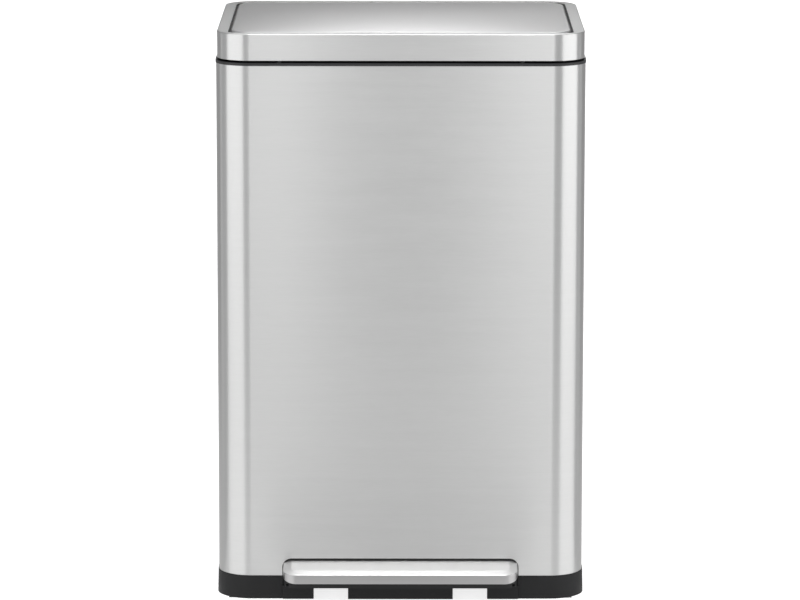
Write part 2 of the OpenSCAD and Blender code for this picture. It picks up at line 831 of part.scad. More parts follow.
module lever_arm(side) {
    color(zinc) difference() {
        translate([side * arm_x - arm_t / 2, nose_y + 8, pivot_z - arm_h / 2])
            cube([arm_t, bar_y + arm_h / 2 - nose_y - 8, arm_h]);
        translate([side * arm_x, pivot_y, pivot_z]) along_x(-10, 20, bush_d);
        translate([side * arm_x, bar_y, pivot_z]) along_x(-10, 20, lever_rod_d);
    }
}

module left_lever_arm() lever_arm(-1);

module right_lever_arm() lever_arm(1);

module lever_bushes() {
    color(plastic) for (s = [-1, 1]) translate([s * arm_x, pivot_y, pivot_z]) difference() {
        along_x(-arm_t / 2, arm_t, bush_d);
        along_x(-10, 20, lever_rod_d + 2 * pin_fit);
    }
}

module lever_crossbar() {
    color(zinc) translate([0, bar_y, pivot_z])
        along_x(-arm_x - arm_t / 2 - 3, 2 * arm_x + arm_t + 6, lever_rod_d);
}

pivot_half = arm_x + arm_t / 2 + bush_gap + lug_t;

module pivot_rod() {
    color(zinc) translate([0, pivot_y, pivot_z])
        along_x(-pivot_half - pin_over, 2 * (pivot_half + pin_over), lever_rod_d);
}

module pivot_clips() {
    color(zinc) for (s = [-1, 1])
        translate([s > 0 ? pivot_half : -pivot_half - clip_t, pivot_y, pivot_z])
            rotate([0, 90, 0]) end_clip(lever_rod_d);
}

base();
deck();
base_feet();
pedal_surround();
body_shell();
top_frame();
inner_bucket();
hinge_bracket();
hinge_backplate();
bracket_screws();
hinge_pin();
hinge_pin_clips();
upper_rod_guide();
lower_rod_guide();
guide_rivets();
damper_clip();
damper_cylinder();
pivot_rod();
pivot_clips();
lid_bumpers();
lid_frame();
lid_panel();
lid_liner();
lid_hinge();
leaf_screws();
crank_pin();
push_rod();
rod_head();
rod_foot();
damper_yoke();
damper_piston();
pedal_tread();
pedal_carrier();
left_lever_arm();
right_lever_arm();
lever_crossbar();
lever_bushes();
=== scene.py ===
# %% [markdown]
# # A brushed-steel pedal bin
#
# The construction model already holds every part of the bin at its real size. This script gives
# those parts their looks. Pressed sheet, with its rounded folds, is modelled again here, because
# a fold catches the light only if it is a real curve. Mouldings and fasteners that are right as
# they stand only get a material.

# %% Load the construction model
import math

import bmesh
import bpy
from mathutils import Matrix, Vector


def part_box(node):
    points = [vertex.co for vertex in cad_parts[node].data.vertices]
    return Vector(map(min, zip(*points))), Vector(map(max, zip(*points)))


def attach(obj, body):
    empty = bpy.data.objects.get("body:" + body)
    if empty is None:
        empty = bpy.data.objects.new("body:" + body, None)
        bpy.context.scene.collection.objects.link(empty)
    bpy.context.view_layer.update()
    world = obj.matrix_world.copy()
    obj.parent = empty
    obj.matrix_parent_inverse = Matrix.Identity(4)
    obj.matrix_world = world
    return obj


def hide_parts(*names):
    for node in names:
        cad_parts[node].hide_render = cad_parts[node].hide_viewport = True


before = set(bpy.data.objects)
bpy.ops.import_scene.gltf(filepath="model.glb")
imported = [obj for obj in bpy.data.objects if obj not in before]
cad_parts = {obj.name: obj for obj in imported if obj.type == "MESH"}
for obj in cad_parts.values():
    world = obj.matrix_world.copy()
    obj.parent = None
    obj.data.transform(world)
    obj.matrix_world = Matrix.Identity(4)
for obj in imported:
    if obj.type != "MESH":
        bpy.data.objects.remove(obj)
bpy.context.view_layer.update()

# %% [markdown]
# ## Driving sizes
#
# Every place is read from the boxes of the construction nodes. Only sizes that a box can't tell,
# such as a sheet's thickness or a corner's radius, are named in this script. Blender works in
# metres, so a millimetre is a named unit.
#
# Two more values serve every cut. Points nearer to a plane than same_place lie on it, and a cut
# that has to clear an edge goes beyond it.

# %% Sizes that the boxes can't tell
mm = 0.001
X, Y, Z = 0, 1, 2
same_place = 1e-6
beyond = 1 * mm
sheet = 1.0 * mm
body_corner = 38.0 * mm

shell_lo, shell_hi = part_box("body_shell")
band_lo, band_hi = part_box("lid_frame")
panel_lo, panel_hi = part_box("lid_panel")
tread_lo, tread_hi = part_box("pedal_tread")
bucket_lo, bucket_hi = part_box("inner_bucket")
front_y = shell_lo.y
rear_y = shell_hi.y
mid_y = (front_y + rear_y) / 2
print("body", [round(v / mm, 1) for v in (shell_hi - shell_lo)], "mm")

# %% [markdown]
# ## Helpers for sheet metal and mouldings
#
# Nearly every part of the bin starts as the same shape: a box whose four upright edges are
# rounded. A cube with its upright edges bevelled gives it in two operators, and the number of
# bevel segments decides how smooth the corner reads in a reflection.

# %% Blocks and rounded boxes
corner_steps = 24


def block(lo, hi):
    """A bmesh box from lo to hi."""
    bm = bmesh.new()
    place = Matrix.Translation((lo + hi) / 2) @ Matrix.Diagonal((*(hi - lo), 1))
    bmesh.ops.create_cube(bm, size=1, matrix=place)
    return bm


def round_edges(bm, edges, radius, steps):
    """Rounds some edges by a radius."""
    bmesh.ops.bevel(
        bm, geom=edges, offset=radius, offset_type="OFFSET", segments=steps,
        affect="EDGES", profile=0.5, material=-1,
    )


def rounded_box(lo, hi, corner, steps=corner_steps):
    """A bmesh box from lo to hi with its upright edges rounded."""
    bm = block(lo, hi)
    half_height = (hi.z - lo.z) / 2
    upright = [e for e in bm.edges if abs(e.verts[0].co.z - e.verts[1].co.z) > half_height]
    round_edges(bm, upright, corner, steps)
    return bm


print("a rounded corner has", corner_steps, "steps")

# %% [markdown]
# The next operators work on a part of the mesh: the faces in one plane, the corners at one
# height, or the outline of a face. These helpers find that part by its place, so nothing depends
# on how the mesh is numbered.


# %% Find and drop parts of a mesh
def flat_faces(bm, axis, value):
    """The faces that lie in a plane across an axis, such as every face at one height."""
    return [f for f in bm.faces if all(abs(v.co[axis] - value) < same_place for v in f.verts)]


def verts_at(bm, height):
    """The corners at one height."""
    return [v for v in bm.verts if abs(v.co.z - height) < same_place]


def edges_at(bm, height):
    """The level edges at one height."""
    return [e for e in bm.edges if all(abs(v.co.z - height) < same_place for v in e.verts)]


def edges_of(faces):
    """The edges of some faces, which is the outline if there is only one."""
    return [e for f in faces for e in f.edges]


def verts_in(geometry):
    """The corners among what an operator has made."""
    return [g for g in geometry if isinstance(g, bmesh.types.BMVert)]


def widest(faces):
    """The face with the largest area."""
    return max(faces, key=lambda f: f.calc_area())


def drop_faces(bm, faces):
    """Deletes faces, with what only they used."""
    bmesh.ops.delete(bm, geom=faces, context="FACES")


def open_ends(bm, lo, hi):
    """Takes the bottom and the top off a box from lo to hi."""
    drop_faces(bm, flat_faces(bm, Z, lo.z) + flat_faces(bm, Z, hi.z))


print("places closer than", round(same_place / mm, 6), "mm count as one")

# %% [markdown]
# A rounded rectangle has one useful property: the direction straight out from its edge is the
# direction from the rectangle that is smaller by the corner radius. With it a tapered wall, a
# leaning skirt and an outward lip all stay even round the corners.

# %% Move an outline outward
shortest = 1e-7


def swell(verts, lo, hi, corner, by):
    """Moves corners straight out from a rounded outline by a distance."""
    for v in verts:
        core = Vector((
            min(max(v.co.x, lo.x + corner), hi.x - corner),
            min(max(v.co.y, lo.y + corner), hi.y - corner),
            v.co.z,
        ))
        out = v.co - core
        if out.length > shortest:
            v.co += out.normalized() * by


print("a direction needs a length over", round(shortest / mm, 6), "mm")

# %% [markdown]
# Openings are punched the way a press tool does it: the flat wall is cut along every side of
# the hole's outline, and the blank in the middle is taken out. An outline with rounded corners
# is a polygon with short sides at its corners.

# %% Cut along a plane and punch a hole
quarter_steps = 8


def cut(bm, point, normal, geom=None):
    """Cuts the mesh, or a part of it, along a plane without removing anything."""
    geom = geom or bm.verts[:] + bm.edges[:] + bm.faces[:]
    return bmesh.ops.bisect_plane(bm, geom=geom, dist=shortest, plane_co=point, plane_no=normal)


def cut_across(bm, axis, value):
    """Cuts the whole mesh along the plane that crosses an axis at a value."""
    normal = Vector()
    normal[axis] = 1
    cut(bm, value * normal, normal)


def rounded_outline(u0, u1, v0, v1, radius, steps=quarter_steps):
    """Corner points of a rounded rectangle in two coordinates, counter-clockwise."""
    points = []
    for cu, cv, start in (
        (u1 - radius, v0 + radius, -90), (u1 - radius, v1 - radius, 0),
        (u0 + radius, v1 - radius, 90), (u0 + radius, v0 + radius, 180),
    ):
        for i in range(steps + 1):
            a = math.radians(start + 90 * i / steps)
            points.append((cu + radius * math.cos(a), cv + radius * math.sin(a)))
    return points


def punch(bm, face, points):
    """Cuts a convex outline into a flat face and returns the blank inside it."""
    normal = face.normal.copy()
    middle = sum(points, Vector()) / len(points)
    for a, b in zip(points, points[1:] + points[:1]):
        if (b - a).length < same_place:
            continue
        away = (b - a).cross(normal).normalized()
        if (middle - a).dot(away) > 0:
            away.negate()
        found = cut(bm, a, away, [face, *face.edges, *face.verts])
        parts = [g for g in found["geom"] if isinstance(g, bmesh.types.BMFace)]
        face = min(parts, key=lambda f: (f.calc_center_median() - a).dot(away))
    return face


def punch_wall(bm, y, outline):
    """Punches an outline in the front or rear wall, which lies flat at y."""
    return punch(bm, widest(flat_faces(bm, Y, y)), [Vector((u, y, v)) for u, v in outline])


print("a hole's corner has", quarter_steps, "steps")

# %% [markdown]
# Sheet metal and mouldings have walls of an even thickness, so a wall is modelled as a skin and
# thickened at the end. A skin's faces must all point outwards before that.


# %% Thicken a skin
def face_outwards(bm):
    """Turns all faces to point outwards."""
    bmesh.ops.recalc_face_normals(bm, faces=bm.faces[:])


def thicken(bm, wall):
    """Gives a skin a wall that lies behind it, on the side away from its normals."""
    face_outwards(bm)
    bmesh.ops.solidify(bm, geom=bm.faces[:], thickness=wall)


print("steel sheet is", sheet / mm, "mm thick")

# %% [markdown]
# A finished piece needs three more things: shading that is smooth along curves but sharp at
# corners, a material, and a body to ride on so that it moves with its joint.
#
# A fine bevel beside a wide flat must not bend the flat's shading, or the steel would look
# dented. So each corner's normal is weighted by the area of the faces that meet there, and the
# wide flat wins.

# %% Shade by area
sharp_angle = math.radians(35)


def shade_by_area(mesh):
    """Sets corner normals that follow the larger of the faces that meet smoothly."""
    mesh.shade_smooth()
    mesh.set_sharp_from_angle(angle=sharp_angle)
    bm = bmesh.new()
    bm.from_mesh(mesh)
    normals = [Vector((0, 0, 1))] * len(mesh.loops)
    areas = {f.index: f.calc_area() for f in bm.faces}
    for v in bm.verts:
        waiting = {loop.face.index: loop for loop in v.link_loops}
        while waiting:
            fan, queue = [], [waiting.popitem()[1]]
            while queue:
                loop = queue.pop()
                fan.append(loop)
                for e in (loop.edge, loop.link_loop_prev.edge):
                    for other in e.link_faces if e.smooth else ():
                        if other.index in waiting:
                            queue.append(waiting.pop(other.index))
            total = sum((areas[l.face.index] * l.face.normal for l in fan), Vector())
            for loop in fan:
                normals[loop.index] = total.normalized()
    bm.free()
    mesh.normals_split_custom_set(normals)


print("faces shade as one up to", round(math.degrees(sharp_angle)), "degrees")


# %% Turn a bmesh into a piece of the bin
def as_mesh(bm, name):
    """Turns a bmesh into a named mesh and frees it."""
    mesh = bpy.data.meshes.new(name)
    bm.to_mesh(mesh)
    bm.free()
    return mesh


def add_object(name, data):
    """Puts a new object with this data in the scene."""
    thing = bpy.data.objects.new(name, data)
    bpy.context.scene.collection.objects.link(thing)
    return thing


def finish_piece(bm, name, body, material, replaced, second=None):
    """Makes the object, shades it, and ties it to its body and the nodes it stands for."""
    face_outwards(bm)
    mesh = as_mesh(bm, name)
    shade_by_area(mesh)
    piece = add_object(name, mesh)
    mesh.materials.append(material)
    if second:
        mesh.materials.append(second)
    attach(piece, body)
    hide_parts(*replaced)
    print(name, len(mesh.polygons), "faces")


# %% [markdown]
# ## Materials
#
# Brushed stainless steel is a mirror covered with fine parallel scratches. Along the scratches a
# reflection stays fairly sharp, and across them it smears out, which is what an anisotropic
# shader does. A stretched noise varies the tone and the roughness a little, so that single
# streaks show close up.
#
# A noise seldom leaves the middle half of its range from 0 to 1, so that half is what gets spread
# over a wanted range.

# %% Node helpers
noise_low, noise_high = 0.25, 0.75
noise_roughness = 0.6


def new_material(name):
    """A new material, with its nodes, its links and its shader."""
    material = bpy.data.materials.new(name)
    material.use_nodes = True
    nodes = material.node_tree.nodes
    return material, nodes, material.node_tree.links, nodes["Principled BSDF"]


def stretched_noise(nodes, links, scale, detail):
    """Noise on Object coordinates, stretched by a different scale on each axis."""
    coords = nodes.new("ShaderNodeTexCoord")
    mapping = nodes.new("ShaderNodeMapping")
    mapping.inputs["Scale"].default_value = scale
    noise = nodes.new("ShaderNodeTexNoise")
    noise.inputs["Scale"].default_value = 1.0
    noise.inputs["Detail"].default_value = detail
    noise.inputs["Roughness"].default_value = noise_roughness
    links.new(coords.outputs["Object"], mapping.inputs["Vector"])
    links.new(mapping.outputs["Vector"], noise.inputs["Vector"])
    return noise.outputs["Fac"]


def spread(nodes, links, source, middle, reach):
    """Spreads a noise over the range from middle - reach to middle + reach."""
    node = nodes.new("ShaderNodeMapRange")
    node.inputs["From Min"].default_value = noise_low
    node.inputs["From Max"].default_value = noise_high
    node.inputs["To Min"].default_value = middle - reach
    node.inputs["To Max"].default_value = middle + reach
    links.new(source, node.inputs["Value"])
    return node.outputs["Result"]


def vary_colour(nodes, links, shader, colour, tone):
    """Multiplies a colour by a varying tone and makes it the shader's colour."""
    tint = nodes.new("ShaderNodeMix")
    tint.data_type = "RGBA"
    tint.blend_type = "MULTIPLY"
    tint.inputs[0].default_value = 1.0
    tint.inputs["A"].default_value = (*colour, 1)
    links.new(tone, tint.inputs["B"])
    links.new(tint.outputs["Result"], shader.inputs["Base Color"])


def raise_surface(nodes, links, shader, signal, strength, depth):
    """Lets a signal bump the surface by a strength, to a depth in metres."""
    height = nodes.new("ShaderNodeBump")
    height.inputs["Strength"].default_value = strength
    height.inputs["Distance"].default_value = depth
    links.new(signal, height.inputs["Height"])
    links.new(height.outputs["Normal"], shader.inputs["Normal"])


print("noise is spread from", noise_low, "to", noise_high)

# %% [markdown]
# A scratch shows in two sizes: single fine ones, and broader bands where many lie together. So
# the grain is the mean of a fine noise and the same noise drawn about eight times larger.
#
# The body's wrap is brushed straight up. The flat faces of the lid and the pedal are satin, and
# we look along them at a low angle. Their scratches are finer than the eye can part, and a bump
# would only look like sand, so they have none.

# %% Brushed steel
broad_share = 0.13
scratch_depth = 0.2 * mm
upwards, rearwards = (0, 0, 1), (0, 1, 0)


def brushed_steel(name, colour, grain, roughness, smear, anisotropy, streak, bump=0):
    """Steel with a brushed grain.

    grain is the noise's scale on each axis, small along the grain. smear is the direction
    across the grain, in which reflections are drawn out. streak is how far the tone and the
    roughness vary.
    """
    material, nodes, links, shader = new_material(name)
    fine = stretched_noise(nodes, links, grain, detail=2.0)
    broad = stretched_noise(nodes, links, tuple(g * broad_share for g in grain), detail=3.0)
    total = nodes.new("ShaderNodeMath")
    total.operation = "ADD"
    mean = nodes.new("ShaderNodeMath")
    mean.operation = "MULTIPLY"
    mean.inputs[1].default_value = 0.5
    links.new(fine, total.inputs[0])
    links.new(broad, total.inputs[1])
    links.new(total.outputs[0], mean.inputs[0])
    tone = spread(nodes, links, mean.outputs[0], 1.0, streak)
    vary_colour(nodes, links, shader, colour, tone)
    shine = spread(nodes, links, mean.outputs[0], roughness, streak)
    links.new(shine, shader.inputs["Roughness"])
    shader.inputs["Metallic"].default_value = 1.0
    shader.inputs["Anisotropic"].default_value = anisotropy
    across = nodes.new("ShaderNodeVectorTransform")
    across.vector_type = "VECTOR"
    across.convert_from = "OBJECT"
    across.convert_to = "WORLD"
    across.inputs["Vector"].default_value = smear
    links.new(across.outputs["Vector"], shader.inputs["Tangent"])
    if bump:
        raise_surface(nodes, links, shader, fine, bump, scratch_depth)
    return material


wrap_grain, lid_grain, pedal_grain = (80, 80, 1200), (80, 600, 300), (80, 1300, 1300)
# Each call gives name, colour, grain, roughness, smear, anisotropy, streak and, if any, bump.
wrap_steel = brushed_steel(
    "wrap_steel", (0.62, 0.62, 0.615), wrap_grain, 0.34, upwards, 0.87, 0.03, 0.04
)
# The flange is the top of the same sheet as the lid's band, but its colour is a little lighter
# than the wrap's: painted light on the lid's top.
flange_painted_light_steel = brushed_steel(
    "flange_painted_light_steel", (0.66, 0.66, 0.655), lid_grain, 0.285, rearwards, 0.1, 0.005
)
panel_steel = brushed_steel(
    "panel_steel", (0.62, 0.615, 0.615), lid_grain, 0.285, rearwards, 0.1, 0.005
)
# The pedal's cap is one pressed sheet. Its tread is coloured much lighter and its front wall
# darker than the wrap's steel: painted light on the tread, painted shade on the wall.
tread_painted_light_steel = brushed_steel(
    "tread_painted_light_steel", (0.84, 0.835, 0.83), pedal_grain, 0.42, rearwards, 0.6, 0.015
)
pedal_wall_painted_shade_steel = brushed_steel(
    "pedal_wall_painted_shade_steel", (0.46, 0.455, 0.455), pedal_grain, 0.30, upwards, 0.7, 0.015
)
steels = [wrap_steel, flange_painted_light_steel, panel_steel, tread_painted_light_steel, pedal_wall_painted_shade_steel]
print("steels", [steel.name for steel in steels])

# %% [markdown]
# The mouldings are polypropylene and nylon. A mould's spark-eroded surface is a fine even
# stipple, so it is a fine noise in the height, with a slow noise that varies the shine. Zinc
# plating has a cloudy shine, so there a noise moves between a darker and a lighter tone.

# %% Moulded plastic, rubber and zinc
stipple_depth = 0.15 * mm
slow_scale, cloud_scale = 14, 60
plastic_tone, plastic_shine = 0.15, 0.06
dark_zinc, light_zinc, zinc_shine = 0.82, 1.12, 0.07


def moulded(name, colour, roughness, stipple, bump=0.25, specular=0.4):
    """A moulding's surface. stipple is the scale of the fine noise, and bump its strength."""
    material, nodes, links, shader = new_material(name)
    fine = stretched_noise(nodes, links, (stipple,) * 3, detail=1.0)
    slow = stretched_noise(nodes, links, (slow_scale,) * 3, detail=4.0)
    vary_colour(nodes, links, shader, colour, spread(nodes, links, slow, 1.0, plastic_tone))
    shine = spread(nodes, links, slow, roughness, plastic_shine)
    links.new(shine, shader.inputs["Roughness"])
    shader.inputs["Specular IOR Level"].default_value = specular
    raise_surface(nodes, links, shader, fine, bump, stipple_depth)
    return material


def zinc_plated(name, colour, roughness):
    """Bright zinc plating with a cloudy shine."""
    material, nodes, links, shader = new_material(name)
    cloud = stretched_noise(nodes, links, (cloud_scale,) * 3, detail=5.0)
    ramp = nodes.new("ShaderNodeValToRGB")
    for stop, share in zip(ramp.color_ramp.elements, (dark_zinc, light_zinc)):
        stop.color = (*(min(c * share, 1) for c in colour), 1)
    links.new(cloud, ramp.inputs["Fac"])
    links.new(ramp.outputs["Color"], shader.inputs["Base Color"])
    shine = spread(nodes, links, cloud, roughness, zinc_shine)
    links.new(shine, shader.inputs["Roughness"])
    shader.inputs["Metallic"].default_value = 1.0
    return material


skirt_black = moulded("skirt_black", (0.012, 0.012, 0.0125), 0.50, 2600, specular=0.2)
rim_black = moulded("rim_black", (0.014, 0.014, 0.015), 0.42, 3000, bump=0.12)
liner_black = moulded("liner_black", (0.018, 0.018, 0.0185), 0.65, 2000, specular=0.2)
nylon_black = moulded("nylon_black", (0.022, 0.022, 0.023), 0.48, 1800)
bucket_grey = moulded("bucket_grey", (0.050, 0.051, 0.053), 0.46, 1500, bump=0.2)
damper_dark = moulded("damper_dark", (0.030, 0.030, 0.033), 0.25, 4000, bump=0.05)
foot_rubber = moulded("foot_rubber", (0.014, 0.014, 0.014), 0.85, 900, bump=0.5, specular=0.2)
zinc_sheet = zinc_plated("zinc_sheet", (0.52, 0.53, 0.55), 0.38)
zinc_bar = zinc_plated("zinc_bar", (0.56, 0.57, 0.59), 0.28)
print("materials", len(bpy.data.materials))

# %% [markdown]
# ## Materials on the construction nodes
#
# Parts whose shape is already right keep their construction mesh. One table says which finish
# each node has, and a loop assigns it. The nodes that are modelled again below are in the table
# too, so that no node is without a finish.

# %% Assign finishes to construction nodes
finishes = {
    skirt_black: ["base", "deck", "pedal_surround", "pedal_carrier"],
    rim_black: ["top_frame"],
    liner_black: ["lid_liner"],
    nylon_black: [
        "hinge_bracket", "upper_rod_guide", "lower_rod_guide", "damper_clip", "damper_yoke",
        "rod_head", "rod_foot", "lever_bushes",
    ],
    damper_dark: ["damper_cylinder"],
    bucket_grey: ["inner_bucket"],
    foot_rubber: ["base_feet", "lid_bumpers"],
    zinc_sheet: ["hinge_backplate", "lid_hinge", "left_lever_arm", "right_lever_arm"],
    zinc_bar: [
        "bracket_screws", "hinge_pin", "hinge_pin_clips", "guide_rivets", "pivot_rod",
        "pivot_clips", "leaf_screws", "crank_pin", "push_rod", "damper_piston",
        "lever_crossbar",
    ],
    wrap_steel: ["body_shell", "lid_frame"],
    panel_steel: ["lid_panel"],
    tread_painted_light_steel: ["pedal_tread"],
}
for material, names in finishes.items():
    for name in names:
        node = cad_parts[name]
        if not node.material_slots:
            node.data.materials.append(material)
        for place in node.material_slots:
            place.material = material
print("finished", sum(len(names) for names in finishes.values()), "nodes")

# %% [markdown]
# ## Body wrap
#
# The body is one strip of sheet, bent round a former and seamed down the back. Four large-radius
# bends join its flat sides. It is open at the top and bottom, where the plastic rim and base
# plug in. The pedal's opening is punched in the bottom of its front, and a slot for the lid's
# crank in the top of its back. The seam is a narrow strip that is sunk by less than the sheet's
# thickness.

# %% Body wrap
surround_edge = 2.5 * mm
opening_corner = 10 * mm
opening_bottom = -50 * mm
crank_slot_half = 10.4 * mm
crank_slot_depth = 12 * mm
crank_slot_above = 9 * mm
crank_slot_corner = 1 * mm
seam_half = 0.3 * mm
seam_depth = 0.4 * mm
seam_below_bracket = 5 * mm
seam_corner = 0.1 * mm

surround_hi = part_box("pedal_surround")[1]
bracket_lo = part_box("hinge_bracket")[0]
opening_half = surround_hi.x - surround_edge
opening_top = surround_hi.z - surround_edge

bm = rounded_box(shell_lo, shell_hi, body_corner)
open_ends(bm, shell_lo, shell_hi)
opening = rounded_outline(
    -opening_half, opening_half, opening_bottom, opening_top, opening_corner,
)
drop_faces(bm, [punch_wall(bm, front_y, opening)])
crank_slot = rounded_outline(
    -crank_slot_half, crank_slot_half, shell_hi.z - crank_slot_depth,
    shell_hi.z + crank_slot_above, crank_slot_corner, steps=3,
)
drop_faces(bm, [punch_wall(bm, rear_y, crank_slot)])
seam = rounded_outline(
    -seam_half, seam_half, shell_lo.z, bracket_lo.z - seam_below_bracket, seam_corner, steps=1,
)
sunk = bmesh.ops.extrude_discrete_faces(bm, faces=[punch_wall(bm, rear_y, seam)])["faces"]
bmesh.ops.translate(bm, verts=list({v for f in sunk for v in f.verts}), vec=(0, -seam_depth, 0))
thicken(bm, sheet)
finish_piece(bm, "body_wrap", "body", wrap_steel, ["body_shell"])

# %% [markdown]
# ## Base moulding
#
# The base is a black moulding with three parts that show. Its skirt stands a little proud of the
# steel and leans out towards the floor. A spigot above the skirt plugs into the body. Two blocks
# close the front below the pedal's ends. The front wall has a wide window that the pedal and its
# levers pass through.


# %% Helpers for the base
def join(bm, other):
    """Adds a second bmesh to the first."""
    carrier = as_mesh(other, "carrier")
    bm.from_mesh(carrier)
    bpy.data.meshes.remove(carrier)


def soft_block(lo, hi, radius, steps):
    """A block with all its edges rounded."""
    bm = block(lo, hi)
    round_edges(bm, bm.edges[:], radius, steps)
    return bm


def grown(lo, hi, by):
    """The box from lo to hi, grown sideways by a distance, or shrunk by a negative one."""
    return Vector((lo.x - by, lo.y - by, lo.z)), Vector((hi.x + by, hi.y + by, hi.z))


def open_window(bm, half, low, high, front=True):
    """Takes out the front or rear wall between two heights, to a distance each side of x = 0."""
    for side in (-1, 1):
        cut_across(bm, X, side * half)
    for height in (low, high):
        cut_across(bm, Z, height)
    gone = []
    for f in bm.faces:
        c = f.calc_center_median()
        if (c.y < mid_y) == front and abs(c.x) < half and low < c.z < high:
            gone.append(f)
    drop_faces(bm, gone)


base_lo, base_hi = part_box("base")
print("base", [round(v / mm, 1) for v in (base_hi - base_lo)], "mm")

# %% Skirt
base_wall = 3 * mm
skirt_top = shell_lo.z
skirt_proud = 0.8 * mm
skirt_lean = 0.6 * mm
shoulder = skirt_top - 1 * mm
shoulder_radius = 0.7 * mm
slot_half = 96 * mm
block_top = 16 * mm

skirt_lo, skirt_hi = grown(shell_lo, shell_hi, skirt_proud)
skirt_corner = body_corner + skirt_proud
skirt_lo.z, skirt_hi.z = base_lo.z, skirt_top
bm = rounded_box(skirt_lo, skirt_hi, skirt_corner)
open_ends(bm, skirt_lo, skirt_hi)
cut_across(bm, Z, shoulder)
shoulder_edges = edges_at(bm, shoulder)
swell(verts_at(bm, skirt_top), skirt_lo, skirt_hi, skirt_corner, -skirt_lean)
swell(verts_at(bm, skirt_lo.z), skirt_lo, skirt_hi, skirt_corner, skirt_lean)
round_edges(bm, shoulder_edges, shoulder_radius, steps=3)
open_window(bm, slot_half, skirt_lo.z - beyond, block_top)
open_window(bm, opening_half, block_top, skirt_top + beyond)
thicken(bm, base_wall)
print("skirt", len(bm.faces), "faces")

# %% Spigot and blocks
spigot_gap = 1.3 * mm
spigot_below = 8 * mm
spigot_side_room = 3 * mm
spigot_top_room = 6 * mm
rear_window_half = 10 * mm
block_proud = 4 * mm
block_depth = 2.5 * mm
block_inset = 0.2 * mm
block_round = 0.8 * mm

spigot_lo, spigot_hi = grown(shell_lo, shell_hi, -spigot_gap)
spigot_lo.z, spigot_hi.z = skirt_top - spigot_below, base_hi.z
spigot = rounded_box(spigot_lo, spigot_hi, body_corner - spigot_gap)
open_ends(spigot, spigot_lo, spigot_hi)
open_window(
    spigot, opening_half + spigot_side_room, spigot_lo.z - beyond, opening_top + spigot_top_room
)
open_window(spigot, rear_window_half, skirt_top + beyond, base_hi.z + beyond, front=False)
thicken(spigot, base_wall)
join(bm, spigot)
for side in (-1, 1):
    left, right = sorted((side * slot_half, side * (opening_half - block_inset)))
    lo = Vector((left, front_y - block_proud, base_lo.z))
    hi = Vector((right, front_y + block_depth, block_top))
    join(bm, soft_block(lo, hi, block_round, steps=3))
finish_piece(bm, "base_moulding", "body", skirt_black, ["base"])

# %% [markdown]
# ## Lid frame
#
# The lid's outer part is a shallow drawn ring: an upright band, a tight fold, and a narrow flat
# flange that ends at the groove. It starts as the same rounded box, slightly smaller.
#
# The flange's two front inner corners are tighter than its outer ones, so the groove widens at the
# front corners of the panel: each point there is drawn towards the square corner.

# %% Lid frame
flange = 12.6 * mm
fold_radius = 1.2 * mm
band_corner = body_corner - (band_lo.x - shell_lo.x)
inner_radius, tight_radius = band_corner - flange, 7 * mm
facing_up = 0.7

bm = rounded_box(band_lo, band_hi, band_corner)
drop_faces(bm, flat_faces(bm, Z, band_lo.z))
round_edges(bm, edges_of(flat_faces(bm, Z, band_hi.z)), fold_radius, steps=8)
bmesh.ops.inset_region(
    bm, faces=flat_faces(bm, Z, band_hi.z), thickness=flange - fold_radius, use_even_offset=True,
)
drop_faces(bm, [widest(flat_faces(bm, Z, band_hi.z))])

band_mid, band_half = (band_lo + band_hi) / 2, (band_hi - band_lo) / 2
for v in bm.verts:
    if v.co.z > band_hi.z - fold_radius / 2 and v.co.y < mid_y:
        away = v.co - band_mid
        into = [abs(away[k]) - (band_half[k] - flange - inner_radius) for k in (X, Y)]
        if min(into) > 0 and math.hypot(*into) < inner_radius + beyond:
            for k in (X, Y):
                drawn = (inner_radius - tight_radius) + into[k] * tight_radius / inner_radius
                v.co[k] += math.copysign(drawn - into[k], away[k])
thicken(bm, sheet)
# Faces that point up take the flange's steel, brushed front to back and painted a little lighter
# than the band: painted light on the top.
for f in bm.faces:
    f.material_index = 1 if f.normal.z > facing_up else 0
finish_piece(
    bm, "lid_band", "lid", wrap_steel, ["lid_frame"], flange_painted_light_steel
)

# %% [markdown]
# ## Lid panel
#
# A separate panel is pressed into a very shallow pillow, so that its edges lie level with the
# flange and its middle rises by a few millimetres. A grid of cuts gives the flat top enough
# points, and each point is lifted by how far it lies from the edges.

# %% Lid panel
panel_fold = 2.2 * mm
panel_rounder = 6 * mm
grid_steps = 36
panel_corner = body_corner - (panel_lo.x - shell_lo.x) + panel_rounder
panel_edge = band_hi.z
crown = panel_hi.z - panel_edge

bm = rounded_box(panel_lo, Vector((panel_hi.x, panel_hi.y, panel_edge)), panel_corner)
drop_faces(bm, flat_faces(bm, Z, panel_lo.z))
round_edges(bm, edges_of(flat_faces(bm, Z, panel_edge)), panel_fold, steps=6)
half = (panel_hi - panel_lo) / 2
middle = (panel_hi + panel_lo) / 2
for i in range(1, grid_steps):
    cut_across(bm, X, panel_lo.x + 2 * half.x * i / grid_steps)
    cut_across(bm, Y, panel_lo.y + 2 * half.y * i / grid_steps)
for v in bm.verts:
    u = (v.co.x - middle.x) / half.x
    w = (v.co.y - middle.y) / half.y
    v.co.z += crown * max(0, 1 - u * u) * max(0, 1 - w * w)
thicken(bm, sheet)
finish_piece(bm, "lid_pillow", "lid", panel_steel, ["lid_panel"])

# %% [markdown]
# ## Pedal tread
#
# The tread is a pressed steel cap over the pedal's plastic core. Its top slopes gently to the
# front, then falls away faster in a narrow band along the front and both ends, and turns down
# into an upright front wall.
#
# The cap starts flat, with its top edge rounded. Cuts close together near the front and the ends
# give it points, and each point is then lowered by how far it lies past the line where its fall
# begins. The start of each fall is softened, because a press can't fold steel to a sharp line.

# %% How far the tread falls
tread_slope = 0.145
edge_fall = 0.235
fall_run = 9 * mm
flat_corner = 7 * mm
fold_soft = 0.9 * mm
on_the_flat = 1e-9


def past(t):
    """Distance past a line, with a soft start instead of a corner."""
    return (t + math.hypot(t, fold_soft)) / 2


